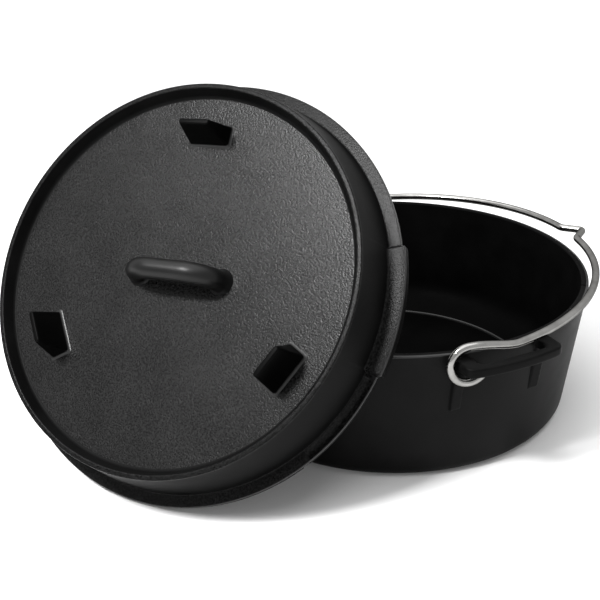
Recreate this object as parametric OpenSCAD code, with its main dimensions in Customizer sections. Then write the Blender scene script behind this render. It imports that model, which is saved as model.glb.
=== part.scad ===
// Camp dutch oven: a flat-bottomed cast pot, a deep cast lid and a wire bail.
// The pot stands on z = 0 with its axis on Z and its ears along X. The lid stands on its edge beside it.

/* [Pot] */
// Radius of the rim, outside
rim_r = 134; // [126:1:142]
// Height of the rim above the floor
pot_h = 90; // [80:0.1:110]
// How much the wall narrows from the rim to the floor
pot_draft = 10.8; // [9:0.1:20]
// Thickness of the wall, measured level
pot_wall = 5; // [4:0.1:7]
// Thickness of the pot's floor
pot_floor = 6; // [4:0.1:9]
// Radius of the bottom edge outside
base_fillet = 9; // [6:0.5:16]
// Radius where the floor meets the wall inside
inner_fillet = 18; // [10:0.5:24]
// Radius of the rim's outer edge
rim_edge = 1.2; // [0.6:0.1:2]

/* [Ears] */
// Width of the bar in front of the slot in an ear
ear_bar = 7.1; // [5:0.1:12]
// Width of an ear along the rim
ear_w = 67; // [63:1:76]
// Thickness of an ear
ear_t = 6; // [5:0.1:8]
// Depth of the ear's top below the rim
ear_drop = 3; // [2:0.1:8]
// Length of the slot in an ear
slot_len = 47; // [42:1:50]
// Gap between the wire and the bar in front of it
slot_clear = 2.4; // [1.5:0.1:4]
// Radius of the ear's front corners
ear_corner = 6; // [3:0.5:8]
// Width of a rib under an ear
rib_w = 8; // [5:0.5:9]
// Height of a rib
rib_h = 31; // [22:1:36]
// Gap between a rib and the hook's wire
rib_clear = 0.6; // [0.4:0.1:1.2]
// How far a rib's lower end runs into the wall
rib_sink = 2; // [1:0.1:3]

/* [Bail] */
// Diameter of the wire
wire_d = 5; // [4:0.1:6]
// Gap between the rim and the wire
hook_gap = 1.5; // [1:0.1:3]
// Radius of a hook at the middle of the wire
hook_r = 11.5; // [11:0.1:13]
// Angle that a hook wraps round
hook_wrap = 240; // [200:5:250]
// How far a hook's middle lies from the middle of the ear's arm, towards the slot
hook_in = 2; // [0:0.1:2.5]
// Angle round the pot from a hook to the end of its bent arm
arm_turn = 14; // [10:0.5:20]
// Height of the bow above the middle of the hooks, before it is tilted
arm_level = 5; // [4:0.1:7]
// How far the bow is tilted up from level where it lies
bail_tilt = 3.7; // [3:0.1:6]
// Half the width of the hanging notch in the middle of the bail
notch_half = 11; // [8:0.5:14]
// How far the notch stands out
notch_out = 11; // [6:0.5:14]

/* [Lid] */
// How far the flange's edge lies inside the pot's rim when the lid is on
flange_inset = 1; // [0.5:0.1:3]
// Thickness of the flange
flange_t = 4; // [3.5:0.1:6]
// How far the lid's wall stands outside the lip's inner face, at the flange
wall_step = 2.9; // [1.5:0.1:3.5]
// Run-in of the lid's wall from the flange to the coal rim
wall_run = 5.7; // [2:0.1:9]
// Height of the coal rim above the mouth
lid_h = 37.2; // [32:0.1:44]
// Height of the coal rim above the plate
coal_rim_h = 8; // [6:0.5:11]
// Width of the coal rim's top
coal_rim_w = 2.9; // [2.4:0.1:4]
// Run-out of the coal rim's inner face
coal_rim_draft = 2.6; // [1:0.1:4]
// Thickness of the plate
plate_t = 5; // [4:0.1:7]
// Thickness of the lid's wall
lid_wall = 5.5; // [4.5:0.1:6.5]
// Radius between plate and wall inside the lid
lid_fillet = 8; // [4:0.5:12]
// Depth of the locating lip below the mouth
lip_h = 4; // [2:0.1:6]
// Thickness of the locating lip
lip_t = 4; // [3:0.1:5]
// Gap all round between the lip and the pot's rim when the lid is on
lip_clear = 2.4; // [1.5:0.1:4]

/* [Lid lugs] */
// Angle that a lug spans
lug_span = 33; // [24:1:40]
// How far a lug stands out past the flange
lug_out = 2.6; // [1:0.1:4]
// How far a lug rises above the flange
lug_rise = 3; // [2:0.1:5]
// How far a lug runs into the lid's wall
lug_root = 3; // [2:0.1:4]
// Angle between a lug and the panel beside it
panel_gap = 1.5; // [1:0.5:3]
// Angle that the panel spans
panel_span = 24.5; // [16:0.5:28]
// Depth of that panel
panel_depth = 1; // [0.5:0.1:2]
// Width of the flange left on each side of the panel
panel_border = 1.1; // [0.8:0.1:2]
// Angle between the panel and the thermometer groove
groove_gap = 2; // [1.5:0.5:4]
// Diameter of the thermometer groove under the flange
groove_d = 5; // [3:0.1:6]

/* [Lid handle and feet] */
// Length of the lid's handle
handle_len = 68; // [60:1:84]
// How far the middle of the handle and feet lies from the lid's axis
top_shift = 4; // [0:0.5:6]
// Thickness of the handle's bar
handle_d = 13; // [11:0.1:14]
// Height of the handle's top above the plate
handle_h = 23; // [22:0.5:25]
// Gap between a foot and the coal rim's inner face
foot_gap = 19; // [14:0.1:24]
// Depth of a foot at the plate, radially
foot_depth = 12.5; // [10:0.1:16]
// Width of a foot at the plate
foot_w = 27; // [22:0.5:34]
// Height of a foot above the plate
foot_h = 23.5; // [21:0.5:28]
// Depth of a foot's top
foot_top_depth = 3.2; // [2:0.1:8]
// Width of a foot's top
foot_top_w = 20; // [15:0.5:22]
// Angle of the first foot from the handle
foot_turn = 90; // [90:1:100]

/* [Lid beside the pot] */
// How far the lid leans back from upright
lean = 36.7; // [34:0.1:40]
// Direction that the lid faces, from the first ear
facing = -53.1; // [-58:0.1:-50]
// Turn of the lid about its own axis
lid_turn = 4; // [0:1:10]
// Shift of the lid sideways, from the pot's axis to the lid's
lid_shift = 77.9; // [70:0.1:86]
// Gap between the lid's lip and the pot's rim where the lid leans on it
lean_gap = 0.5; // [0.3:0.1:2]

/* [Hidden] */
$fn = 96;
arc_steps = 6;
iron = [0.09, 0.09, 0.095];
steel = [0.78, 0.78, 0.76];
cut = 1;
bend_swell = 0.2;
foot_step = 120;
base_r = rim_r - pot_draft;
wall_lean = atan(pot_draft / pot_h);
core_r = base_r / 2;
ear_top = pot_h - ear_drop;
ear_mid = ear_top - ear_t / 2;
hook_reach = rim_r + hook_gap + wire_d / 2;
bar_in = hook_reach + wire_d / 2 + slot_clear;
ear_reach = bar_in + ear_bar;
arm_y = (slot_len + ear_w) / 4;
bail_skew = asin((arm_y - hook_in) / hook_reach);
rib_reach = hook_reach * cos(bail_skew) - wire_d / 2 - rib_clear;
plate_z = lid_h - coal_rim_h;
lip_r = rim_r - pot_wall - lip_clear;
lip_in_r = lip_r - lip_t;
flange_r = rim_r - flange_inset;
lid_foot_r = lip_in_r + wall_step;
coal_rim_r = lid_foot_r - wall_run;
panel_turn = lug_span / 2 + panel_gap + panel_span;
plate_r = coal_rim_r - coal_rim_w - coal_rim_draft;
foot_mid_r = plate_r - foot_gap - foot_depth / 2;
// The lip's inner edge meets the rim at this turn round the lip, below the lid's level diameter
lid_z = flange_r * cos(lean);
meet_sin = (pot_h - lid_z + lip_h * sin(lean)) / (lip_in_r * cos(lean));
meet_aside = lip_in_r * sqrt(1 - pow(meet_sin, 2)) - lid_shift;
meet_ahead = sqrt(pow(rim_r + lean_gap, 2) - pow(meet_aside, 2));
lid_ahead = meet_ahead + lip_h * cos(lean) + lip_in_r * meet_sin * sin(lean);

// Radius of the pot's outside at a height
function wall_r(z) = base_r + pot_draft * z / pot_h;

// Points of an arc from one angle to another
function arc(c, r, from, to) = [for (i = [0:arc_steps]) c + r * [
    cos(from + (to - from) * i / arc_steps),
    sin(from + (to - from) * i / arc_steps)
]];

// Centre of a circle of radius r that touches level z from above and the wall line moved in by inset
function wall_circle(r, z, inset) = [wall_r(z + r) - inset - r / cos(wall_lean), z + r];

module pot_outside() {
    foot = wall_circle(base_fillet, 0, 0);
    top = [rim_r - rim_edge, pot_h - rim_edge];
    rotate_extrude()
        polygon(concat(
            [[0, 0]],
            arc(foot, base_fillet, -90, -wall_lean),
            arc(top, rim_edge, -wall_lean, 90),
            [[0, pot_h]]
        ));
}

module pot() {
    bowl = wall_circle(inner_fillet, pot_floor, pot_wall);
    color(iron)
        difference() {
            pot_outside();
            rotate_extrude()
                polygon(concat(
                    [[0, pot_floor]],
                    arc(bowl, inner_fillet, -90, -wall_lean),
                    [[rim_r - pot_wall, pot_h], [rim_r - pot_wall, pot_h + cut], [0, pot_h + cut]]
                ));
        }
}

module ear_plan() {
    tip = sqrt(pow(ear_reach - ear_corner, 2) - pow(ear_w / 2 - ear_corner, 2));
    intersection() {
        circle(r = ear_reach);
        union() {
            translate([0, -ear_w / 2])
                square([tip, ear_w]);
            translate([0, ear_corner - ear_w / 2])
                square([ear_reach, ear_w - 2 * ear_corner]);
            for (side = [-1, 1])
                translate([tip, side * (ear_w / 2 - ear_corner)])
                    circle(r = ear_corner);
        }
    }
}

module rib() {
    rotate([90, 0, 0])
        linear_extrude(rib_w, center = true)
            polygon([
                [core_r, ear_mid],
                [rib_reach, ear_mid],
                [rib_reach, ear_top - ear_t],
                [wall_r(ear_top - ear_t - rib_h) - rib_sink, ear_top - ear_t - rib_h],
                [core_r, ear_top - ear_t - rib_h]
            ]);
}

module ear() {
    color(iron)
        difference() {
            union() {
                translate([0, 0, ear_top - ear_t])
                    linear_extrude(ear_t)
                        ear_plan();
                for (side = [-1, 1])
                    translate([0, side * arm_y, 0])
                        rib();
            }
            pot_outside();
            translate([0, -slot_len / 2, ear_top - ear_t - cut])
                cube([bar_in, slot_len, ear_t + 2 * cut]);
        }
}

module front_ear() {
    ear();
}

module back_ear() {
    rotate([0, 0, 180])
        ear();
}

// Straight wire between two points
module rod(a, b) {
    run = b - a;
    translate(a)
        rotate([0, acos(run.z / norm(run)), atan2(run.y, run.x)])
            cylinder(d = wire_d, h = norm(run));
}

// Fills the outside of a bend between two runs of wire
module bend(at) {
    translate(at)
        sphere(d = wire_d + bend_swell);
}

module hook() {
    rotate([90, 0, 90])
        rotate([0, 0, 90])
            rotate_extrude(angle = hook_wrap)
                translate([hook_r, 0])
                    circle(d = wire_d);
}

module arm() {
    top = [hook_reach, 0, hook_r];
    end = [hook_reach * cos(arm_turn), hook_reach * sin(arm_turn), arm_level];
    rod(top, end);
    bend(top);
    bend(end);
}

module half_bow() {
    spread = asin(notch_half / hook_reach);
    start = [notch_half, hook_reach * cos(spread), 0];
    peak = [0, hook_reach + notch_out, 0];
    rotate([0, 0, arm_turn])
        rotate_extrude(angle = 90 - spread - arm_turn)
            translate([hook_reach, 0])
                circle(d = wire_d);
    rod(start, peak);
    bend(start);
    bend(peak);
}

// The hooks lie at opposite ends of the two slots, so the bail lies askew
module bail() {
    color(steel)
        translate([0, 0, ear_mid])
            rotate([0, 0, -bail_skew])
                rotate([bail_tilt, 0, 0])
                    for (side = [0, 1])
                        mirror([side, 0, 0]) {
                            translate([hook_reach, 0, 0])
                                hook();
                            arm();
                            translate([0, 0, arm_level])
                                half_bow();
                        }
}

// Places the lid's own frame, mouth at z = 0 and plate above it, beside the pot
module lid_place() {
    rotate([0, 0, facing])
        translate([lid_ahead, -lid_shift, lid_z])
            rotate([0, 90 - lean, 0])
                rotate([0, 0, 90 + lid_turn])
                    children();
}

module lug() {
    rotate([0, 0, -lug_span / 2])
        rotate_extrude(angle = lug_span)
            translate([lid_foot_r - lug_root, 0])
                square([flange_r + lug_out - lid_foot_r + lug_root, flange_t + lug_rise]);
}

module lid_profile() {
    slope = wall_run / (lid_h - flange_t);
    inner_top = plate_z - plate_t;
    inner_r = lid_foot_r - lid_wall - slope * (inner_top - flange_t);
    polygon(concat(
        [
            [0, inner_top],
            [inner_r - lid_fillet, inner_top]
        ],
        arc([inner_r - lid_fillet, inner_top - lid_fillet], lid_fillet, 90, 0),
        [
            [lip_in_r, 0],
            [lip_in_r, -lip_h],
            [lip_r, -lip_h],
            [lip_r, 0],
            [flange_r, 0],
            [flange_r, flange_t],
            [lid_foot_r, flange_t],
            [coal_rim_r, lid_h],
            [coal_rim_r - coal_rim_w, lid_h],
            [plate_r, plate_z],
            [0, plate_z]
        ]
    ));
}

module lid() {
    color(iron)
        lid_place()
            difference() {
                union() {
                    rotate_extrude()
                        lid_profile();
                    for (turn = [0, 180])
                        rotate([0, 0, turn])
                            lug();
                }
                for (turn = [0, 180])
                    rotate([0, 0, turn - panel_turn])
                        rotate_extrude(angle = panel_span)
                            translate([lid_foot_r + panel_border, flange_t - panel_depth])
                                square([flange_r - lid_foot_r - 2 * panel_border, panel_depth + cut]);
                rotate([0, 90, -panel_turn - groove_gap])
                    translate([0, 0, core_r])
                        cylinder(d = groove_d, h = flange_r);
            }
}

module lid_handle() {
    rise = handle_h - handle_d / 2;
    color(iron)
        lid_place()
            translate([top_shift, 0, plate_z])
                intersection() {
                    translate([-handle_len, -handle_len, 0])
                        cube(2 * handle_len);
                    union() {
                        for (side = [0, 1])
                            mirror([side, 0, 0])
                                translate([handle_len / 2 - handle_d / 2 - rise, 0, 0])
                                    rotate([90, 0, 0])
                                        rotate_extrude(angle = 90)
                                            translate([rise, 0])
                                                circle(d = handle_d);
                        translate([handle_d / 2 + rise - handle_len / 2, 0, rise])
                            rotate([0, 90, 0])
                                cylinder(d = handle_d, h = handle_len - handle_d - 2 * rise);
                    }
                }
}

// Block that narrows upwards from base to top, drawn across X, of the given length along Y
module taper(base, top, length) {
    rotate([90, 0, 0])
        linear_extrude(length, center = true)
            polygon([[-base / 2, 0], [base / 2, 0], [top / 2, foot_h], [-top / 2, foot_h]]);
}

module lid_foot(turn) {
    color(iron)
        lid_place()
            translate([top_shift, 0, plate_z])
                rotate([0, 0, turn])
                    translate([foot_mid_r, 0, 0])
                        intersection() {
                            taper(foot_depth, foot_top_depth, foot_w + 2 * cut);
                            rotate([0, 0, 90])
                                taper(foot_w, foot_top_w, foot_depth + 2 * cut);
                        }
}

pot();
front_ear();
back_ear();
bail();
lid();
lid_handle();
lid_foot(foot_turn);  // lid_foot_1
lid_foot(foot_turn + foot_step);  // lid_foot_2
lid_foot(foot_turn + 2 * foot_step);  // lid_foot_3
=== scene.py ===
"""Looks of a cast-iron camp oven: pot, ears, wire bail and a deep footed lid that leans on the pot."""

import math

import bmesh
import bpy
from mathutils import Matrix, Vector


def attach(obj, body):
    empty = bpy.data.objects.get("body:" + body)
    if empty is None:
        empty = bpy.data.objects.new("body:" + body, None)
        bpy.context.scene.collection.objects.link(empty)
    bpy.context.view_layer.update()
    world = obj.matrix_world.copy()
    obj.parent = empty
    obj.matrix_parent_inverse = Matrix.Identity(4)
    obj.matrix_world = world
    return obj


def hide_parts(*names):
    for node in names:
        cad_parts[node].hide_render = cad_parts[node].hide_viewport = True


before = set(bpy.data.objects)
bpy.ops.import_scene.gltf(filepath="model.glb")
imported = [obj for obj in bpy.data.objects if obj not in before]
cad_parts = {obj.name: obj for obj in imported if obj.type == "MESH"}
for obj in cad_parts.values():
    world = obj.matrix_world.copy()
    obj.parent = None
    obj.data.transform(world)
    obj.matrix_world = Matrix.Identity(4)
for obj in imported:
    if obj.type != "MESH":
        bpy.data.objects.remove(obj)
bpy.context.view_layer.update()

MM = 0.001
TURN = 2 * math.pi
MERGE_WITHIN = 0.001
LARGEST_ROUNDING_SHARE = 0.48
LARGEST_BEND_SHARE = 0.49

# Pot, in millimetres, as in the part's source
RIM_R = 134.0
POT_H = 90.0
POT_DRAFT = 10.8
BASE_R = RIM_R - POT_DRAFT
POT_WALL = 5.0
POT_FLOOR = 6.0
BASE_FILLET = 9.0
INNER_FILLET = 18.0
INNER_BEND_Z = 21.0
FLOOR_EDGE_R = 104.0
FLOOR_EDGE = 3.4
# Width of the ring of painted highlight at the inside floor's edge
FLOOR_HIGHLIGHT_BAND = 2.0
RIM_EDGE = 1.2
# Width of the band of worn iron with painted highlight on the rim's top
RIM_WEAR_AND_HIGHLIGHT_BAND = 1.8
RIM_INNER_EDGE = 0.9
POT_STEPS = 216
RIM_MARK_TURN = 46.7
RIM_MARK_HALF = 0.45
RIM_MARK_DEPTH = 0.7
RIM_MARK_RAMP = 0.15
POT_ROUNDING_STEPS = 8

# Ears
WIRE_D = 5.0
HOOK_ROOM = 1.5
HOOK_REACH = RIM_R + HOOK_ROOM + WIRE_D / 2
BAR_ROOM = 2.4
BAR_IN = HOOK_REACH + WIRE_D / 2 + BAR_ROOM
BAR_W = 7.1
EAR_REACH = BAR_IN + BAR_W
EAR_W = 67.0
EAR_T = 6.0
EAR_DROP = 3.0
EAR_TOP = POT_H - EAR_DROP
EAR_MID = EAR_TOP - EAR_T / 2
EAR_CORNER = 6.0
SLOT_LEN = 47.0
SLOT_CORNER = 3.5
EAR_ROUND = 1.0
ARM_Y = (SLOT_LEN + EAR_W) / 4
ARM_ROOT = 126.5
RIB_W = 8.0
RIB_H = 31.0
HOOK_INSET = 2.0
BAIL_SKEW = math.asin((ARM_Y - HOOK_INSET) / HOOK_REACH)
RIB_ROOM = 0.6
RIB_REACH = HOOK_REACH * math.cos(BAIL_SKEW) - WIRE_D / 2 - RIB_ROOM
RIB_ROOT = 124.5
RIB_SINK = 2.0
RIB_TOE = 1.2
RIB_TAPER = 0.5
PATCH_HALF_TURN = 20.5
PATCH_STEPS = 32
PATCH_LOW = 44.0
PATCH_HIGH = 86.0
PATCH_INSET = 0.25
PATCH_DEPTH = 2.6
EAR_ARM_STEPS = 8
EAR_CORNER_STEPS = 9
EAR_BAR_STEPS = 12
EAR_VOXEL = 0.65
EAR_EASE = 4
EAR_EASE_SHARE = 0.5
EAR_COUNT = 2

# Bail
HOOK_R = 11.5
HOOK_WRAP = 240.0
ARM_TURN = math.radians(14)
ARM_LEVEL = 5.0
ARM_PULL = 24.0
BAIL_TILT = math.radians(3.7)
NOTCH_HALF = 11.0
NOTCH_OUT = 10.8
NOTCH_BEND = 6.0
NOTCH_TRIM = 4
PEAK_BEND = 3.2
HOOK_STEPS = 48
BOW_STEPS = 72
WIRE_SIDES = 28

# Lid
PLATE_T = 5.0
FLANGE_INSET = 1.0
FLANGE_R = RIM_R - FLANGE_INSET
FLANGE_T = 4.0
FLANGE_EDGE = 0.9
# Depth of the band of worn iron with painted highlight on the flange's outer edge
FLANGE_HIGHLIGHT_BAND = 1.3
LIP_ROOM = 2.4
LIP_R = RIM_R - POT_WALL - LIP_ROOM
LIP_W = 4.0
LIP_IN_R = LIP_R - LIP_W
LIP_H = 4.0
WALL_STEP = 2.9
LID_FOOT_R = LIP_IN_R + WALL_STEP
WALL_RUN = 5.7
COAL_RIM_R = LID_FOOT_R - WALL_RUN
COAL_RIM_W = 2.9
COAL_RIM_EDGE = 1.2
LID_H = 37.2
TRAY_DEPTH = 8.0
PLATE_Z = LID_H - TRAY_DEPTH
TRAY_RUN = 2.6
PLATE_R = COAL_RIM_R - COAL_RIM_W - TRAY_RUN
LID_WALL = 5.5
LID_FILLET = 8.0
PLATE_BEND = 2.2
COAL_RIM_INNER_EDGE = 0.8
WALL_BEND = 1.2
FLANGE_LOW_EDGE = 0.7
LIP_BEND = 0.4
LIP_EDGE = 0.6
LID_STEPS = 240
LID_ROUNDING_STEPS = 4
FINE_STEP = 0.1
LUG_HALF = 16.5
LUG_OUT = 2.6
LUG_RISE = 3.0
LUG_RAMP = 0.5
PANEL_FROM = -18.0
PANEL_TO = -42.5
PANEL_RAMP = 0.35
PANEL_DEPTH = 1.0
PANEL_BORDER = 1.1
PANEL_SLOPE = 0.4
GROOVE_TURN = -44.5
GROOVE_R = 2.5
FINE_MARK_HALF = 1.0
FINE_EDGE_HALF = 0.7
FINE_GROOVE_HALF = 1.2
LEAN = math.radians(36.7)
FACING = math.radians(-53.1)
LID_TURN = math.radians(4.0)
LID_SHIFT = 77.9
LEAN_GAP = 0.5

# Lid's handle and feet
HANDLE_LEN = 68.0
TOP_SHIFT = 4.0
HANDLE_D = 13.0
HANDLE_H = 23.0
HANDLE_FLARE = 1.6
HANDLE_FLARE_H = 5.0
HANDLE_FLARE_POWER = 2.5
HANDLE_ROOT = 2.5
HANDLE_BEND_STEPS = 24
HANDLE_FLAT_STEPS = 8
HANDLE_SIDES = 40
FOOT_DEPTH = 12.5
FOOT_W = 27.0
FOOT_H = 23.5
FOOT_TOP_DEPTH = 3.2
FOOT_TOP_W = 20.0
FOOT_INSET = 19.0
FOOT_MID_R = PLATE_R - FOOT_INSET - FOOT_DEPTH / 2
FOOT_CORNER = 1.6
FOOT_FLARE = 1.3
FLARE_STEPS = 6
FOOT_TOP_STEPS = 5
FOOT_CORNER_STEPS = 5
FOOT_TOP_ROUND = 0.8
FOOT_ROOT = 1.0
FOOT_TURN = math.radians(90)
FOOT_COUNT = 3

# Zones of finish, in the order of each casting's materials
POT_OUTSIDE = 0
# Pot's inside: the darker inside finish, painted shade in the hollow
POT_INSIDE = 1
# Rim edge and floor-edge ring: worn iron whose lighter colour is partly a painted highlight
POT_WEAR_AND_HIGHLIGHT = 2
LID_PLATE = 0
LID_SIDE = 1
LID_FLANGE = 2
# Lid's underside and inside: the darker inside finish, painted shade
LID_INSIDE = 3
# Flange's outer edge: worn iron whose lighter colour is partly a painted highlight
LID_WEAR_AND_HIGHLIGHT = 4

# Camera, fitted to the photograph's rims
CAMERA_AT = (546.9, -329.7, 359.7)
CAMERA_HEADING = math.radians(64.4)
CAMERA_PITCH = math.radians(24.87)
CAMERA_ROLL = math.radians(-1.18)
SENSOR = 36.0
FOCAL_PIXELS = 1001.3
PICTURE_PIXELS = 600
CAMERA_REACH = 50.0

# Light and floor, in metres
FLOOR_R = 8.0
FLOOR_SIDES = 96
FLOOR_SHADE = 0.95
FLOOR_ROUGH = 0.9
FLOOR_GLOW = 0.04
WORLD_LEVEL = 0.42
KEY_LEVEL = 2.15
KEY_SOFTNESS = math.radians(70)
KEY_FROM = (-0.08, -0.1, 0.99)
PLATE_LIGHT_AT = (0.177, -0.884, 1.07)
PLATE_LIGHT_AIM = (0.0237, -0.1614, 0.1241)
PLATE_LIGHT_SIZE = 0.2
PLATE_LIGHT_POWER = 21.0

# Iron finishes: darkest and lightest grey, roughness from and to, grain per metre,
# grain depth in millimetres, specular level, share of the grain in the colour
IRON_FINISHES = {
    "iron_grained_plate": (0.0003, 0.015, (0.22, 0.27), 980, 0.15, 0.15, 1.0),
    "iron_grained_flange": (0.0003, 0.015, (0.26, 0.32), 980, 0.15, 0.06, 1.0),
    # Edge bands: worn iron whose lighter colour is also a painted highlight, on the rims, the floor's edge
    # and the feet's run-outs
    "iron_wear_and_highlight_edge": (0.005, 0.01, (0.28, 0.36), 1000, 0.05, 0.32, 0.3),
    "iron_lid_wall": (0.002, 0.004, (0.42, 0.52), 1000, 0.05, 0.04, 0.3),
    "iron_satin_wall": (0.003, 0.006, (0.4, 0.5), 1000, 0.05, 0.05, 0.3),
    # Insides of pot and lid: a darker copy of the iron, painted shade in the hollows
    "iron_inside_painted_shade": (0.001, 0.002, (0.45, 0.6), 1000, 0.06, 0.02, 0.3),
    "iron_handle": (0.001, 0.003, (0.33, 0.4), 1000, 0.06, 0.24, 0.3),
    # Feet: a darker, duller copy of the iron, painted shade on their faces
    "iron_foot_painted_shade": (0.0005, 0.0015, (0.35, 0.45), 1000, 0.05, 0.03, 0.3),
}
GRAIN_PER_METRE = 900.0
GRAIN_DETAIL = 3.0
GRAIN_ROUGHNESS = 0.6
PIT_SHARE = 0.35
MOTTLE_DETAIL = 4.0
MOTTLE_PER_METRE = 40.0
SHADE_FROM = 0.35
SHADE_TO = 0.7
SHEEN_FROM = 0.3
SHEEN_TO = 0.7

# Wire finish
WIRE_DARK = (0.23, 0.227, 0.22)
WIRE_LIGHT = (0.31, 0.307, 0.298)
WIRE_EDGE_TINT = 0.3
WIRE_ROUGH = (0.16, 0.22)
WIRE_GRAIN = 1500.0
WIRE_MOTTLE = 120.0
WIRE_BUMP = 0.5
WIRE_GRAIN_DEPTH = 0.02


def lid_matrix():
    """The lid's own frame, mouth at z = 0 and plate above it, leaning beside the pot."""
    lid_z = FLANGE_R * math.cos(LEAN)
    meet_sin = (POT_H - lid_z + LIP_H * math.sin(LEAN)) / (LIP_IN_R * math.cos(LEAN))
    meet_aside = LIP_IN_R * math.sqrt(1 - meet_sin**2) - LID_SHIFT
    meet_ahead = math.sqrt((RIM_R + LEAN_GAP) ** 2 - meet_aside**2)
    ahead = meet_ahead + LIP_H * math.cos(LEAN) + LIP_IN_R * meet_sin * math.sin(LEAN)
    return (
        Matrix.Rotation(FACING, 4, "Z")
        @ Matrix.Translation((ahead * MM, -LID_SHIFT * MM, lid_z * MM))
        @ Matrix.Rotation(math.pi / 2 - LEAN, 4, "Y")
        @ Matrix.Rotation(math.pi / 2 + LID_TURN, 4, "Z")
    )


def wall_r(z):
    """Radius of the pot's outside at a height."""
    return BASE_R + POT_DRAFT * z / POT_H


def ease(x, low, high):
    """0 below low, 1 above high, smooth between."""
    t = min(1.0, max(0.0, (x - low) / (high - low)))
    return t * t * (3 - 2 * t)


def window(x, start, end, ramp):
    """1 between start and end, 0 outside, with a smooth ramp centred on each end."""
    return ease(x, start - ramp, start + ramp) - ease(x, end - ramp, end + ramp)


def soften(corners, steps):
    """Points of a line through (r, z, rounding, zone) corners, and the zone of each span between them."""
    points = []
    zones = []
    for i, (r, z, rounding, zone) in enumerate(corners):
        here = Vector((r, z))
        if rounding <= 0 or i in (0, len(corners) - 1):
            points.append(here)
            zones.append(zone)
            continue
        back = Vector(corners[i - 1][:2]) - here
        ahead = Vector(corners[i + 1][:2]) - here
        half = back.angle(ahead) / 2
        room = LARGEST_ROUNDING_SHARE * min(back.length, ahead.length)
        reach = min(rounding / math.tan(half), room)
        radius = reach * math.tan(half)
        middle = here + (back.normalized() + ahead.normalized()).normalized() * (radius / math.sin(half))
        start = here + back.normalized() * reach - middle
        end = here + ahead.normalized() * reach - middle
        sweep = start.angle_signed(end)
        for k in range(steps + 1):
            points.append(middle + Matrix.Rotation(-sweep * k / steps, 2) @ start)
            zones.append(zone)
    return points, zones


def face_outwards(mesh):
    """Merges doubled points and turns every face of a closed mesh outwards."""
    shape = bmesh.new()
    shape.from_mesh(mesh)
    bmesh.ops.remove_doubles(shape, verts=shape.verts, dist=MERGE_WITHIN * MM)
    bmesh.ops.recalc_face_normals(shape, faces=shape.faces)
    shape.to_mesh(mesh)
    shape.free()
    mesh.shade_smooth()


def make_piece(name, verts, faces, materials, place=None, zones=None):
    """A smooth mesh piece from points in millimetres."""
    mesh = bpy.data.meshes.new(name)
    mesh.from_pydata([Vector(v) * MM for v in verts], [], faces)
    for material in materials:
        mesh.materials.append(material)
    if zones:
        mesh.polygons.foreach_set("material_index", zones)
    if place:
        mesh.transform(place)
    mesh.validate()
    face_outwards(mesh)
    piece = bpy.data.objects.new(name, mesh)
    bpy.context.scene.collection.objects.link(piece)
    return piece


def lathe(name, profile_at, angles, materials, place=None):
    """Turns a profile, which may change with the angle, about Z. It starts and ends on the axis."""
    verts = []
    faces = []
    face_zones = []
    for angle in angles:
        points, zones = profile_at(angle)
        a = math.radians(angle)
        verts += [(p.x * math.cos(a), p.x * math.sin(a), p.y) for p in points[1:-1]]
    count = len(points) - 2
    first = len(verts)
    verts += [(0, 0, points[0].y), (0, 0, points[-1].y)]
    for i in range(len(angles)):
        here = i * count
        there = (i + 1) % len(angles) * count
        faces.append((first, here, there))
        face_zones.append(zones[0])
        for k in range(count - 1):
            faces.append((here + k, here + k + 1, there + k + 1, there + k))
            face_zones.append(zones[k + 1])
        faces.append((first + 1, there + count - 1, here + count - 1))
        face_zones.append(zones[-2])
    return make_piece(name, verts, faces, materials, place, face_zones)


def angles_with(steps, places):
    """Even angles round the circle, with finer ones at (from, to, step) places."""
    even = [360 * i / steps for i in range(steps)]
    fine = []
    for start, end, step in places:
        even = [a for a in even if not start < a < end]
        fine += [start + step * k for k in range(int(round((end - start) / step)) + 1)]
    return sorted(even + fine)


def baked(piece):
    """Turns a piece with modifiers into a plain mesh."""
    graph = bpy.context.evaluated_depsgraph_get()
    mesh = bpy.data.meshes.new_from_object(piece.evaluated_get(graph))
    piece.modifiers.clear()
    piece.data = mesh
    face_outwards(mesh)
    return piece


def pot_profile(angle):
    """Outside, rim with its mark, inside wall and floor, at one angle."""
    mark_from = RIM_MARK_TURN - RIM_MARK_HALF
    mark_to = RIM_MARK_TURN + RIM_MARK_HALF
    dip = RIM_MARK_DEPTH * window(angle, mark_from, mark_to, RIM_MARK_RAMP)
    corners = [
        (0, 0, 0, POT_OUTSIDE),
        (BASE_R, 0, BASE_FILLET, POT_OUTSIDE),
        # Rim's outer edge and a band of its top: worn iron, lighter as a painted highlight
        (RIM_R, POT_H - dip, RIM_EDGE, POT_WEAR_AND_HIGHLIGHT),
        (RIM_R - RIM_WEAR_AND_HIGHLIGHT_BAND, POT_H - dip, 0, POT_INSIDE),
        (RIM_R - POT_WALL, POT_H - dip, RIM_INNER_EDGE, POT_INSIDE),
        (wall_r(INNER_BEND_Z) - POT_WALL, INNER_BEND_Z, INNER_FILLET, POT_INSIDE),
        # A ring of painted highlight at the floor's edge
        (FLOOR_EDGE_R, POT_FLOOR, FLOOR_EDGE, POT_WEAR_AND_HIGHLIGHT),
        (FLOOR_EDGE_R - FLOOR_HIGHLIGHT_BAND, POT_FLOOR, 0, POT_INSIDE),
        (0, POT_FLOOR, 0, POT_INSIDE),
    ]
    return soften(corners, POT_ROUNDING_STEPS)


def make_pot(outside, inside, wear_and_highlight):
    """The pot's casting, with finer steps round the mark on its rim."""
    mark = (RIM_MARK_TURN - FINE_MARK_HALF, RIM_MARK_TURN + FINE_MARK_HALF, FINE_STEP)
    angles = angles_with(POT_STEPS, [mark])
    return lathe("pot_casting", pot_profile, angles, [outside, inside, wear_and_highlight])


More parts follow.
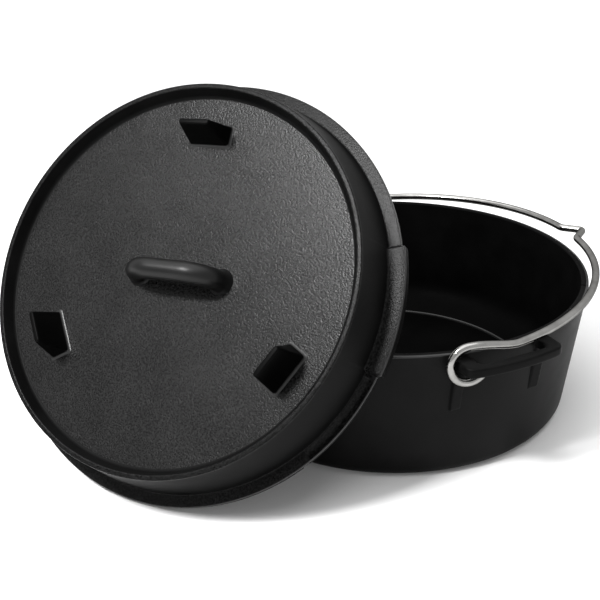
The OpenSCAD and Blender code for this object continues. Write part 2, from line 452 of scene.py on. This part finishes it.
def lid_profile(angle):
    """Plate, coal rim, wall, flange with its lug, panel and groove, lip and inside, at one angle."""
    turn = (angle + 90) % 180 - 90
    lug = window(turn, -LUG_HALF, LUG_HALF, LUG_RAMP)
    panel = window(turn, PANEL_TO, PANEL_FROM, PANEL_RAMP) * PANEL_DEPTH
    across = FLANGE_R * math.radians((angle - GROOVE_TURN + 180) % 360 - 180)
    groove = math.sqrt(max(0.0, GROOVE_R**2 - across**2))
    slope = WALL_RUN / (LID_H - FLANGE_T)
    top = FLANGE_T + LUG_RISE * lug
    foot = LID_FOOT_R - slope * LUG_RISE * lug
    edge = FLANGE_R + LUG_OUT * lug
    panel_in = LID_FOOT_R + PANEL_BORDER
    panel_out = FLANGE_R - PANEL_BORDER
    inner_top = PLATE_Z - PLATE_T
    inner_r = LID_FOOT_R - LID_WALL - slope * (inner_top - FLANGE_T)
    corners = [
        (0, PLATE_Z, 0, LID_PLATE),
        (PLATE_R, PLATE_Z, PLATE_BEND, LID_SIDE),
        (COAL_RIM_R - COAL_RIM_W, LID_H, COAL_RIM_INNER_EDGE, LID_FLANGE),
        (COAL_RIM_R, LID_H, COAL_RIM_EDGE, LID_FLANGE),
        (COAL_RIM_R + slope * COAL_RIM_EDGE, LID_H - COAL_RIM_EDGE, 0, LID_SIDE),
        (foot, top, WALL_BEND, LID_FLANGE),
        (panel_in, top, 0, LID_FLANGE),
        (panel_in + PANEL_SLOPE, top - panel, 0, LID_FLANGE),
        (panel_out - PANEL_SLOPE, top - panel, 0, LID_FLANGE),
        (panel_out, top, 0, LID_FLANGE),
        # Flange's outer edge: worn iron, lighter as a painted highlight
        (edge, top, FLANGE_EDGE, LID_WEAR_AND_HIGHLIGHT),
        (edge, top - FLANGE_HIGHLIGHT_BAND, 0, LID_SIDE),
        # Underside, lip and inside take the darker inside finish, painted shade
        (edge, groove, FLANGE_LOW_EDGE, LID_INSIDE),
        (LIP_R, groove, LIP_BEND, LID_INSIDE),
        (LIP_R, -LIP_H, LIP_EDGE, LID_INSIDE),
        (LIP_IN_R, -LIP_H, LIP_EDGE, LID_INSIDE),
        (LIP_IN_R, 0, LIP_BEND, LID_INSIDE),
        (inner_r, inner_top, LID_FILLET, LID_INSIDE),
        (0, inner_top, 0, LID_INSIDE),
    ]
    return soften(corners, LID_ROUNDING_STEPS)


def make_lid(plate, wall, flange, inside, wear_and_highlight, place):
    """The lid's casting, with finer steps at the ends of lugs and panels and at the groove."""
    ends = []
    for turn in (0, 180):
        for edge in (-LUG_HALF, LUG_HALF, PANEL_FROM, PANEL_TO):
            at = (turn + edge) % 360
            ends.append((at - FINE_EDGE_HALF, at + FINE_EDGE_HALF, FINE_STEP))
    groove = GROOVE_TURN % 360
    ends.append((groove - FINE_GROOVE_HALF, groove + FINE_GROOVE_HALF, FINE_STEP))
    angles = angles_with(LID_STEPS, ends)
    finishes = [plate, wall, flange, inside, wear_and_highlight]
    return lathe("lid_casting", lid_profile, angles, finishes, place)


def ear_outline():
    """Pairs of (inside, outside) plan points along the ear's arm, corner and bar, to the other arm."""
    tip = math.sqrt((EAR_REACH - EAR_CORNER) ** 2 - (EAR_W / 2 - EAR_CORNER) ** 2)
    spread = math.atan2(EAR_W / 2 - EAR_CORNER, tip)
    slot = SLOT_LEN / 2
    pairs = []
    for k in range(EAR_ARM_STEPS + 1):
        t = k / EAR_ARM_STEPS
        inner = Vector((ARM_ROOT + t * (BAR_IN - SLOT_CORNER - ARM_ROOT), slot))
        outer = Vector((ARM_ROOT + t * (tip - ARM_ROOT), EAR_W / 2))
        pairs.append((inner, outer))
    for k in range(1, EAR_CORNER_STEPS + 1):
        t = k / EAR_CORNER_STEPS
        slot_turn = (1 - t) * math.pi / 2
        outer_turn = math.pi / 2 + t * (spread - math.pi / 2)
        centre = Vector((BAR_IN - SLOT_CORNER, slot - SLOT_CORNER))
        inner = centre + SLOT_CORNER * Vector((math.cos(slot_turn), math.sin(slot_turn)))
        middle = Vector((tip, EAR_W / 2 - EAR_CORNER))
        outer = middle + EAR_CORNER * Vector((math.cos(outer_turn), math.sin(outer_turn)))
        pairs.append((inner, outer))
    for k in range(1, EAR_BAR_STEPS + 1):
        t = k / EAR_BAR_STEPS
        inner = Vector((BAR_IN, (slot - SLOT_CORNER) * (1 - t)))
        turn = spread * (1 - t)
        outer = EAR_REACH * Vector((math.cos(turn), math.sin(turn)))
        pairs.append((inner, outer))
    other = [(Vector((i.x, -i.y)), Vector((o.x, -o.y))) for i, o in reversed(pairs[:-1])]
    return pairs + other


def rounded_section(steps=5):
    """Section of a bar as corner arcs: (1 outside or 0 inside, 1 top or -1 bottom, rounding direction)."""
    section = []
    for across, up, start in ((1, 1, 0), (0, 1, 90), (0, -1, 180), (1, -1, 270)):
        for k in range(steps + 1):
            a = math.radians(start + 90 * k / steps)
            section.append((across, up, math.cos(a), math.sin(a)))
    return section


def bridge(verts, faces, rings):
    """Joins closed rings of points into a capped tube."""
    first = len(verts)
    size = len(rings[0])
    for ring in rings:
        verts += ring
    for i in range(len(rings) - 1):
        for k in range(size):
            a = first + i * size + k
            b = first + i * size + (k + 1) % size
            faces.append((a, b, b + size, a + size))
    last = first + (len(rings) - 1) * size
    faces.append(tuple(first + k for k in reversed(range(size))))
    faces.append(tuple(last + k for k in range(size)))


def add_ear_strap(verts, faces):
    """The ear's arms and bar, one rounded strap round the slot."""
    rings = []
    for inner, outer in ear_outline():
        across = (outer - inner).normalized()
        ring = []
        for side, up, c, s in rounded_section():
            edge = outer if side else inner
            inset = 1 if side else -1
            flat = edge + across * EAR_ROUND * (c - inset)
            height = EAR_MID + up * (EAR_T / 2 - EAR_ROUND) + s * EAR_ROUND
            ring.append((flat.x, flat.y, height))
        rings.append(ring)
    bridge(verts, faces, rings)


def add_rib(verts, faces, side):
    """A tapering rib under one of the ear's arms."""
    low = EAR_TOP - EAR_T - RIB_H
    toe = wall_r(low) - RIB_SINK
    y = side * ARM_Y
    rings = []
    for z in (low, low + RIB_TOE, low + RIB_H / 2, EAR_TOP - EAR_T, EAR_MID):
        t = min(1.0, (z - low) / RIB_H)
        front = toe + (RIB_REACH - toe) * t
        half = RIB_W / 2 - RIB_TAPER * (1 - t)
        left = y - half
        right = y + half
        rings.append([(RIB_ROOT, left, z), (front, left, z), (front, right, z), (RIB_ROOT, right, z)])
    bridge(verts, faces, rings)


def add_wall_patch(verts, faces):
    """A skin just under the pot's outside, so that the ear's foot runs out into the wall."""
    outside = [(PATCH_LOW, PATCH_INSET), (PATCH_HIGH, PATCH_INSET)]
    back = [(PATCH_HIGH, PATCH_DEPTH), (PATCH_LOW, PATCH_DEPTH)]
    rings = []
    for k in range(PATCH_STEPS + 1):
        a = math.radians(PATCH_HALF_TURN * (2 * k / PATCH_STEPS - 1))
        ring = []
        for z, inset in outside + back:
            r = wall_r(z) - inset
            ring.append((r * math.cos(a), r * math.sin(a), z))
        rings.append(ring)
    bridge(verts, faces, rings)


def make_ears(iron):
    """Strap, ribs and wall patch fused into one casting, eased, and repeated on the pot's other side."""
    verts = []
    faces = []
    add_ear_strap(verts, faces)
    add_rib(verts, faces, -1)
    add_rib(verts, faces, 1)
    add_wall_patch(verts, faces)
    ears = make_piece("ear_castings", verts, faces, [iron])
    fuse = ears.modifiers.new("fuse", "REMESH")
    fuse.mode = "VOXEL"
    fuse.voxel_size = EAR_VOXEL * MM
    soft = ears.modifiers.new("ease", "SMOOTH")
    soft.iterations = EAR_EASE
    soft.factor = EAR_EASE_SHARE
    repeat_round(ears, EAR_COUNT, iron)
    return baked(ears)


def repeat_tree():
    """Geometry nodes: copies of a piece, evenly turned about Z."""
    tree = bpy.data.node_groups.new("repeat_round", "GeometryNodeTree")
    tree.interface.new_socket("Geometry", in_out="INPUT", socket_type="NodeSocketGeometry")
    tree.interface.new_socket("Count", in_out="INPUT", socket_type="NodeSocketInt")
    tree.interface.new_socket("Finish", in_out="INPUT", socket_type="NodeSocketMaterial")
    tree.interface.new_socket("Geometry", in_out="OUTPUT", socket_type="NodeSocketGeometry")
    nodes = tree.nodes
    links = tree.links
    given = nodes.new("NodeGroupInput")
    result = nodes.new("NodeGroupOutput")
    points = nodes.new("GeometryNodePoints")
    index = nodes.new("GeometryNodeInputIndex")
    share = nodes.new("ShaderNodeMath")
    share.operation = "DIVIDE"
    turn = nodes.new("ShaderNodeMath")
    turn.operation = "MULTIPLY"
    turn.inputs[1].default_value = TURN
    spin = nodes.new("ShaderNodeCombineXYZ")
    copies = nodes.new("GeometryNodeInstanceOnPoints")
    real = nodes.new("GeometryNodeRealizeInstances")
    main_faces = nodes.new("GeometryNodeMaterialSelection")
    finish = nodes.new("GeometryNodeSetMaterial")
    links.new(given.outputs["Count"], points.inputs["Count"])
    links.new(index.outputs[0], share.inputs[0])
    links.new(given.outputs["Count"], share.inputs[1])
    links.new(share.outputs[0], turn.inputs[0])
    links.new(turn.outputs[0], spin.inputs["Z"])
    links.new(points.outputs[0], copies.inputs["Points"])
    links.new(given.outputs["Geometry"], copies.inputs["Instance"])
    links.new(spin.outputs[0], copies.inputs["Rotation"])
    links.new(copies.outputs[0], real.inputs[0])
    links.new(given.outputs["Finish"], main_faces.inputs["Material"])
    links.new(real.outputs[0], finish.inputs["Geometry"])
    links.new(main_faces.outputs[0], finish.inputs["Selection"])
    links.new(given.outputs["Finish"], finish.inputs["Material"])
    links.new(finish.outputs[0], result.inputs[0])
    return tree


def set_inputs(modifier, values):
    """Sets a geometry nodes modifier's inputs by their names."""
    for item in modifier.node_group.interface.items_tree:
        if item.in_out == "INPUT" and item.name in values:
            modifier[item.identifier] = values[item.name]


def repeat_round(piece, count, finish):
    """Repeats a piece round its own Z axis."""
    tree = bpy.data.node_groups.get("repeat_round") or repeat_tree()
    modifier = piece.modifiers.new("repeat", "NODES")
    modifier.node_group = tree
    set_inputs(modifier, {"Count": count, "Finish": finish})


def foot_ring(height, grow):
    """Rounded outline of a foot at a height above the plate, grown on every side."""
    share = max(0.0, height) / FOOT_H
    x = (FOOT_DEPTH + (FOOT_TOP_DEPTH - FOOT_DEPTH) * share) / 2 + grow
    y = (FOOT_W + (FOOT_TOP_W - FOOT_W) * share) / 2 + grow
    corners = [(-x, -y), (x, -y), (x, y), (-x, y)]
    closed = [corners[-1], *corners, corners[0]]
    points, _ = soften([(*corner, FOOT_CORNER, 0) for corner in closed], FOOT_CORNER_STEPS)
    return [(FOOT_MID_R + p.x, p.y, PLATE_Z + height) for p in points[1:-1]]


def foot_levels():
    """(height above the plate, growth of the outline) up a foot: flare, sloping side, rounded top edge."""
    levels = [(-FOOT_ROOT, FOOT_FLARE)]
    for k in range(FLARE_STEPS + 1):
        a = math.radians(90 * k / FLARE_STEPS)
        levels.append((FOOT_FLARE * (1 - math.cos(a)), FOOT_FLARE * (1 - math.sin(a))))
    side_top = FOOT_H - FOOT_TOP_ROUND
    levels.append((side_top / 2, 0.0))
    for k in range(FOOT_TOP_STEPS + 1):
        a = math.radians(90 * k / FOOT_TOP_STEPS)
        height = side_top + FOOT_TOP_ROUND * math.sin(a)
        levels.append((height, -FOOT_TOP_ROUND * (1 - math.cos(a))))
    return levels


def make_feet(iron, wear_and_highlight, place):
    """One foot with its run-out into the plate, repeated three times round the lid."""
    rings = [foot_ring(height, grow) for height, grow in foot_levels()]
    verts = []
    faces = []
    bridge(verts, faces, rings)
    flare_faces = (FLARE_STEPS + 1) * len(rings[0])
    # The run-out takes the worn finish, lighter as a painted highlight; the rest takes the foot finish,
    # darker as painted shade
    zones = [1 if i < flare_faces else 0 for i in range(len(faces))]
    turned = Matrix.Rotation(FOOT_TURN, 4, "Z")
    feet = make_piece("lid_feet", verts, faces, [iron, wear_and_highlight], turned, zones)
    repeat_round(feet, FOOT_COUNT, iron)
    baked(feet)
    feet.data.transform(place @ Matrix.Translation((TOP_SHIFT * MM, 0, 0)))
    return feet


def handle_path():
    """(x, height above the plate) along the handle's bar, from one root to the other."""
    rise = HANDLE_H - HANDLE_D / 2
    leg = HANDLE_LEN / 2 - HANDLE_D / 2
    path = [(-leg, -HANDLE_ROOT), (-leg, -HANDLE_ROOT / 2)]
    for k in range(HANDLE_BEND_STEPS + 1):
        a = math.radians(180 - 90 * k / HANDLE_BEND_STEPS)
        path.append((-leg + rise + rise * math.cos(a), rise * math.sin(a)))
    other_side = [(-x, z) for x, z in reversed(path)]
    flat = leg - rise
    path += [(-flat + 2 * flat * k / HANDLE_FLAT_STEPS, rise) for k in range(1, HANDLE_FLAT_STEPS)]
    path += other_side
    return [Vector((TOP_SHIFT + x, 0, z)) for x, z in path]


def make_handle(iron, place):
    """The loop handle: a round bar along its path, flared where it meets the plate."""
    path = handle_path()
    verts = []
    faces = []
    rings = []
    for i, point in enumerate(path):
        along = (path[min(i + 1, len(path) - 1)] - path[max(i - 1, 0)]).normalized()
        up = Vector((-along.z, 0, along.x))
        low = max(0.0, 1 - max(0.0, point.z) / HANDLE_FLARE_H)
        radius = HANDLE_D / 2 + HANDLE_FLARE * low**HANDLE_FLARE_POWER
        ring = []
        for k in range(HANDLE_SIDES):
            a = TURN * k / HANDLE_SIDES
            p = point + radius * (math.cos(a) * up + math.sin(a) * Vector((0, 1, 0)))
            ring.append((p.x, p.y, PLATE_Z + p.z))
        rings.append(ring)
    bridge(verts, faces, rings)
    return make_piece("lid_handle_bar", verts, faces, [iron], place)


def bend_line(points, bends, steps=10):
    """Rounds the corners of a level line: one bend radius per inner point."""
    line = [points[0]]
    for i in range(1, len(points) - 1):
        here = points[i]
        back = points[i - 1] - here
        ahead = points[i + 1] - here
        half = back.angle(ahead) / 2
        room = LARGEST_BEND_SHARE * min(back.length, ahead.length)
        reach = min(bends[i - 1] / math.tan(half), room)
        start = here + back.normalized() * reach
        end = here + ahead.normalized() * reach
        for k in range(steps + 1):
            t = k / steps
            line.append((1 - t) ** 2 * start + 2 * t * (1 - t) * here + t**2 * end)
    line.append(points[-1])
    return line


def bent_arm(steps=16):
    """The arm's middle line: level off the hook's top, then down to the bow and round with it."""
    start = Vector((HOOK_REACH, 0, HOOK_R))
    end = Vector((HOOK_REACH * math.cos(ARM_TURN), HOOK_REACH * math.sin(ARM_TURN), ARM_LEVEL))
    leave = start + Vector((0, ARM_PULL / 2, 0))
    arrive = end - ARM_PULL / 3 * Vector((-math.sin(ARM_TURN), math.cos(ARM_TURN), 0))
    line = []
    for k in range(1, steps):
        t = k / steps
        early = (1 - t) ** 3 * start + 3 * t * (1 - t) ** 2 * leave
        late = 3 * t**2 * (1 - t) * arrive + t**3 * end
        line.append(early + late)
    return line


def half_bail():
    """The wire's middle line from a hook's tip to the hanging notch's foot, in the bail's own frame."""
    line = []
    for k in range(HOOK_STEPS + 1):
        a = math.radians(90 + HOOK_WRAP * (1 - k / HOOK_STEPS))
        line.append(Vector((HOOK_REACH, HOOK_R * math.cos(a), HOOK_R * math.sin(a))))
    line += bent_arm()
    spread = math.asin(NOTCH_HALF / HOOK_REACH)
    sweep = math.pi / 2 - spread - ARM_TURN
    for k in range(BOW_STEPS + 1):
        a = ARM_TURN + sweep * k / BOW_STEPS
        line.append(Vector((HOOK_REACH * math.cos(a), HOOK_REACH * math.sin(a), ARM_LEVEL)))
    return line


def bail_line():
    """The whole wire's middle line, lying askew and a little tilted on the pot."""
    near = half_bail()
    peak = Vector((0, HOOK_REACH + NOTCH_OUT, ARM_LEVEL))
    far = [Vector((-p.x, p.y, p.z)) for p in reversed(near)]
    corner = [near[-NOTCH_TRIM], near[-1], peak, far[0], far[NOTCH_TRIM - 1]]
    notch = bend_line(corner, [NOTCH_BEND, PEAK_BEND, NOTCH_BEND])
    place = (
        Matrix.Translation((0, 0, EAR_MID))
        @ Matrix.Rotation(-BAIL_SKEW, 4, "Z")
        @ Matrix.Rotation(BAIL_TILT, 4, "X")
    )
    return [place @ p for p in near[:-NOTCH_TRIM] + notch + far[NOTCH_TRIM:]]


def wire_tree():
    """Geometry nodes: a round wire along a line of edges."""
    tree = bpy.data.node_groups.new("wire_along_line", "GeometryNodeTree")
    tree.interface.new_socket("Geometry", in_out="INPUT", socket_type="NodeSocketGeometry")
    tree.interface.new_socket("Diameter", in_out="INPUT", socket_type="NodeSocketFloat")
    tree.interface.new_socket("Sides", in_out="INPUT", socket_type="NodeSocketInt")
    tree.interface.new_socket("Finish", in_out="INPUT", socket_type="NodeSocketMaterial")
    tree.interface.new_socket("Geometry", in_out="OUTPUT", socket_type="NodeSocketGeometry")
    nodes = tree.nodes
    links = tree.links
    given = nodes.new("NodeGroupInput")
    result = nodes.new("NodeGroupOutput")
    line = nodes.new("GeometryNodeMeshToCurve")
    half = nodes.new("ShaderNodeMath")
    half.operation = "DIVIDE"
    half.inputs[1].default_value = 2.0
    section = nodes.new("GeometryNodeCurvePrimitiveCircle")
    wire = nodes.new("GeometryNodeCurveToMesh")
    wire.inputs["Fill Caps"].default_value = True
    real = nodes.new("GeometryNodeRealizeInstances")
    finish = nodes.new("GeometryNodeSetMaterial")
    links.new(given.outputs["Geometry"], line.inputs[0])
    links.new(given.outputs["Diameter"], half.inputs[0])
    links.new(half.outputs[0], section.inputs["Radius"])
    links.new(given.outputs["Sides"], section.inputs["Resolution"])
    links.new(line.outputs[0], wire.inputs["Curve"])
    links.new(section.outputs[0], wire.inputs["Profile Curve"])
    links.new(wire.outputs[0], real.inputs[0])
    links.new(real.outputs[0], finish.inputs["Geometry"])
    links.new(given.outputs["Finish"], finish.inputs["Material"])
    links.new(finish.outputs[0], result.inputs[0])
    return tree


def make_bail(steel):
    """The bail: one wire along its middle line."""
    line = bail_line()
    mesh = bpy.data.meshes.new("bail_wire")
    mesh.from_pydata([p * MM for p in line], [(i, i + 1) for i in range(len(line) - 1)], [])
    mesh.materials.append(steel)
    bail = bpy.data.objects.new("bail_wire", mesh)
    bpy.context.scene.collection.objects.link(bail)
    modifier = bail.modifiers.new("wire", "NODES")
    modifier.node_group = wire_tree()
    set_inputs(modifier, {"Diameter": WIRE_D * MM, "Sides": WIRE_SIDES, "Finish": steel})
    return baked(bail)


def group_socket(group, name, direction, kind="NodeSocketFloat", value=None):
    """Adds an input or output to a node group."""
    socket = group.interface.new_socket(name, in_out=direction, socket_type=kind)
    if value is not None:
        socket.default_value = value


def grain_group():
    """Sand-cast skin: height of fine pits and bumps, and a slow mottle of the seasoning."""
    group = bpy.data.node_groups.new("sand_cast_skin", "ShaderNodeTree")
    group_socket(group, "Grain per metre", "INPUT", value=GRAIN_PER_METRE)
    group_socket(group, "Mottle per metre", "INPUT", value=MOTTLE_PER_METRE)
    group_socket(group, "Height", "OUTPUT")
    group_socket(group, "Mottle", "OUTPUT")
    nodes = group.nodes
    links = group.links
    given = nodes.new("NodeGroupInput")
    result = nodes.new("NodeGroupOutput")
    place = nodes.new("ShaderNodeTexCoord")
    grain = nodes.new("ShaderNodeTexNoise")
    grain.inputs["Detail"].default_value = GRAIN_DETAIL
    grain.inputs["Roughness"].default_value = GRAIN_ROUGHNESS
    pits = nodes.new("ShaderNodeTexVoronoi")
    pits.feature = "SMOOTH_F1"
    mottle = nodes.new("ShaderNodeTexNoise")
    mottle.inputs["Detail"].default_value = MOTTLE_DETAIL
    blend = nodes.new("ShaderNodeMix")
    blend.inputs["Factor"].default_value = PIT_SHARE
    links.new(place.outputs["Object"], grain.inputs["Vector"])
    links.new(place.outputs["Object"], pits.inputs["Vector"])
    links.new(place.outputs["Object"], mottle.inputs["Vector"])
    links.new(given.outputs["Grain per metre"], grain.inputs["Scale"])
    links.new(given.outputs["Grain per metre"], pits.inputs["Scale"])
    links.new(given.outputs["Mottle per metre"], mottle.inputs["Scale"])
    links.new(grain.outputs["Fac"], blend.inputs["A"])
    links.new(pits.outputs["Distance"], blend.inputs["B"])
    links.new(blend.outputs["Result"], result.inputs["Height"])
    links.new(mottle.outputs["Fac"], result.inputs["Mottle"])
    return group


def ramp_between(nodes, dark, light):
    """Colour ramp from a dark to a light colour over the noise's usual range."""
    ramp = nodes.new("ShaderNodeValToRGB")
    ramp.color_ramp.elements[0].position = SHADE_FROM
    ramp.color_ramp.elements[0].color = (*dark, 1)
    ramp.color_ramp.elements[1].position = SHADE_TO
    ramp.color_ramp.elements[1].color = (*light, 1)
    return ramp


def range_node(nodes, low, high):
    """Maps the noise's usual range onto a range of values."""
    node = nodes.new("ShaderNodeMapRange")
    node.inputs["From Min"].default_value = SHEEN_FROM
    node.inputs["From Max"].default_value = SHEEN_TO
    node.inputs["To Min"].default_value = low
    node.inputs["To Max"].default_value = high
    return node


def iron_finish(name, dark, light, rough, grain, depth, specular, fleck):
    """Seasoned cast iron: mottled near-black, with a grain that roughens it and flecks its colour."""
    material = bpy.data.materials.new(name)
    material.use_nodes = True
    nodes = material.node_tree.nodes
    links = material.node_tree.links
    shader = nodes["Principled BSDF"]
    shader.inputs["Specular IOR Level"].default_value = specular
    skin = nodes.new("ShaderNodeGroup")
    skin.node_tree = bpy.data.node_groups.get("sand_cast_skin") or grain_group()
    skin.inputs["Grain per metre"].default_value = grain
    colour = ramp_between(nodes, (dark,) * 3, (light,) * 3)
    sheen = range_node(nodes, *rough)
    shade = nodes.new("ShaderNodeMix")
    shade.inputs["Factor"].default_value = fleck
    bump = nodes.new("ShaderNodeBump")
    bump.inputs["Strength"].default_value = 1.0
    bump.inputs["Distance"].default_value = depth * MM
    links.new(skin.outputs["Mottle"], shade.inputs["A"])
    links.new(skin.outputs["Height"], shade.inputs["B"])
    links.new(shade.outputs["Result"], colour.inputs["Fac"])
    links.new(colour.outputs["Color"], shader.inputs["Base Color"])
    links.new(skin.outputs["Mottle"], sheen.inputs["Value"])
    links.new(sheen.outputs["Result"], shader.inputs["Roughness"])
    links.new(skin.outputs["Height"], bump.inputs["Height"])
    links.new(bump.outputs["Normal"], shader.inputs["Normal"])
    return material


def wire_finish():
    """Bright drawn stainless wire with a fine brushed skin."""
    material = bpy.data.materials.new("bright_wire")
    material.use_nodes = True
    nodes = material.node_tree.nodes
    links = material.node_tree.links
    shader = nodes["Principled BSDF"]
    shader.inputs["Metallic"].default_value = 1.0
    shader.inputs["Specular Tint"].default_value = (*(WIRE_EDGE_TINT,) * 3, 1)
    skin = nodes.new("ShaderNodeGroup")
    skin.node_tree = bpy.data.node_groups.get("sand_cast_skin") or grain_group()
    skin.inputs["Grain per metre"].default_value = WIRE_GRAIN
    skin.inputs["Mottle per metre"].default_value = WIRE_MOTTLE
    colour = ramp_between(nodes, WIRE_DARK, WIRE_LIGHT)
    sheen = range_node(nodes, *WIRE_ROUGH)
    bump = nodes.new("ShaderNodeBump")
    bump.inputs["Strength"].default_value = WIRE_BUMP
    bump.inputs["Distance"].default_value = WIRE_GRAIN_DEPTH * MM
    links.new(skin.outputs["Mottle"], colour.inputs["Fac"])
    links.new(colour.outputs["Color"], shader.inputs["Base Color"])
    links.new(skin.outputs["Mottle"], sheen.inputs["Value"])
    links.new(sheen.outputs["Result"], shader.inputs["Roughness"])
    links.new(skin.outputs["Height"], bump.inputs["Height"])
    links.new(bump.outputs["Normal"], shader.inputs["Normal"])
    return material


def floor_finish():
    """White matt floor with a little light of its own for the camera and reflections."""
    material = bpy.data.materials.new("studio_floor")
    material.use_nodes = True
    nodes = material.node_tree.nodes
    links = material.node_tree.links
    shader = nodes["Principled BSDF"]
    shader.inputs["Base Color"].default_value = (*(FLOOR_SHADE,) * 3, 1)
    shader.inputs["Roughness"].default_value = FLOOR_ROUGH
    shader.inputs["Specular IOR Level"].default_value = 0.0
    shader.inputs["Emission Color"].default_value = (1, 1, 1, 1)
    path = nodes.new("ShaderNodeLightPath")
    seen = nodes.new("ShaderNodeMath")
    seen.operation = "MAXIMUM"
    glow = nodes.new("ShaderNodeMath")
    glow.operation = "MULTIPLY"
    glow.inputs[1].default_value = FLOOR_GLOW
    links.new(path.outputs["Is Camera Ray"], seen.inputs[0])
    links.new(path.outputs["Is Glossy Ray"], seen.inputs[1])
    links.new(seen.outputs[0], glow.inputs[0])
    links.new(glow.outputs[0], shader.inputs["Emission Strength"])
    return material


def make_floor():
    """A plain white disc under the oven."""
    bpy.ops.mesh.primitive_circle_add(vertices=FLOOR_SIDES, radius=FLOOR_R, fill_type="NGON")
    floor = bpy.context.object
    floor.name = "studio_floor"
    floor.data.materials.append(floor_finish())


def aim(obj, at, target):
    """Stands a lamp at a place, facing a target."""
    obj.location = at
    obj.rotation_euler = (Vector(target) - Vector(at)).to_track_quat("-Z", "Y").to_euler()


def make_lights():
    """A wide soft light from above, and a small softbox that shines off the lid's plate."""
    key = bpy.data.lights.new("soft_key", "SUN")
    key.energy = KEY_LEVEL
    key.angle = KEY_SOFTNESS
    key_lamp = bpy.data.objects.new("soft_key", key)
    bpy.context.scene.collection.objects.link(key_lamp)
    aim(key_lamp, KEY_FROM, (0, 0, 0))
    plate = bpy.data.lights.new("plate_softbox", "AREA")
    plate.shape = "SQUARE"
    plate.size = PLATE_LIGHT_SIZE
    plate.energy = PLATE_LIGHT_POWER
    plate_lamp = bpy.data.objects.new("plate_softbox", plate)
    bpy.context.scene.collection.objects.link(plate_lamp)
    aim(plate_lamp, PLATE_LIGHT_AT, PLATE_LIGHT_AIM)


def make_world():
    """Even white surroundings, plain white to the camera and in reflections."""
    world = bpy.data.worlds.new("studio")
    bpy.context.scene.world = world
    world.use_nodes = True
    nodes = world.node_tree.nodes
    links = world.node_tree.links
    sky = nodes["Background"]
    sky.inputs["Color"].default_value = (1, 1, 1, 1)
    path = nodes.new("ShaderNodeLightPath")
    seen = nodes.new("ShaderNodeMath")
    seen.operation = "MAXIMUM"
    level = nodes.new("ShaderNodeMapRange")
    level.inputs["To Min"].default_value = WORLD_LEVEL
    level.inputs["To Max"].default_value = 1.0
    links.new(path.outputs["Is Camera Ray"], seen.inputs[0])
    links.new(path.outputs["Is Glossy Ray"], seen.inputs[1])
    links.new(seen.outputs[0], level.inputs["Value"])
    links.new(level.outputs["Result"], sky.inputs["Strength"])


def make_camera():
    """The photograph's camera."""
    data = bpy.data.cameras.new("photo_camera")
    data.sensor_width = SENSOR
    data.lens = SENSOR * FOCAL_PIXELS / PICTURE_PIXELS
    data.clip_end = CAMERA_REACH
    camera = bpy.data.objects.new("photo_camera", data)
    bpy.context.scene.collection.objects.link(camera)
    turned = (
        Matrix.Rotation(CAMERA_HEADING, 4, "Z")
        @ Matrix.Rotation(math.pi / 2 - CAMERA_PITCH, 4, "X")
        @ Matrix.Rotation(CAMERA_ROLL, 4, "Z")
    )
    camera.matrix_world = Matrix.Translation(Vector(CAMERA_AT) * MM) @ turned
    bpy.context.scene.camera = camera


def dress(piece, body, slot, *nodes):
    """Makes a piece move with a body and stand for its nodes; the slot is not used."""
    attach(piece, body)
    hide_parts(*nodes)


def main():
    """Builds the camera, the dressed pieces, the floor and the light."""
    make_camera()
    iron = {name: iron_finish(name, *values) for name, values in IRON_FINISHES.items()}
    plate = iron["iron_grained_plate"]
    flange = iron["iron_grained_flange"]
    wear_and_highlight = iron["iron_wear_and_highlight_edge"]
    wall = iron["iron_lid_wall"]
    satin = iron["iron_satin_wall"]
    inside = iron["iron_inside_painted_shade"]
    handle = iron["iron_handle"]
    foot = iron["iron_foot_painted_shade"]
    lid_place = lid_matrix()
    dress(make_pot(satin, inside, wear_and_highlight), "pot", "iron", "pot")
    dress(make_ears(wall), "pot", "iron", "front_ear", "back_ear")
    dress(make_bail(wire_finish()), "bail", "wire", "bail")
    dress(make_lid(plate, wall, flange, inside, wear_and_highlight, lid_place), "lid", "iron", "lid")
    dress(make_handle(handle, lid_place), "lid", "iron", "lid_handle")
    dress(make_feet(foot, wear_and_highlight, lid_place), "lid", "iron", "lid_foot_1", "lid_foot_2", "lid_foot_3")
    make_floor()
    make_lights()
    make_world()
    bpy.context.scene.view_settings.view_transform = "Standard"


main()
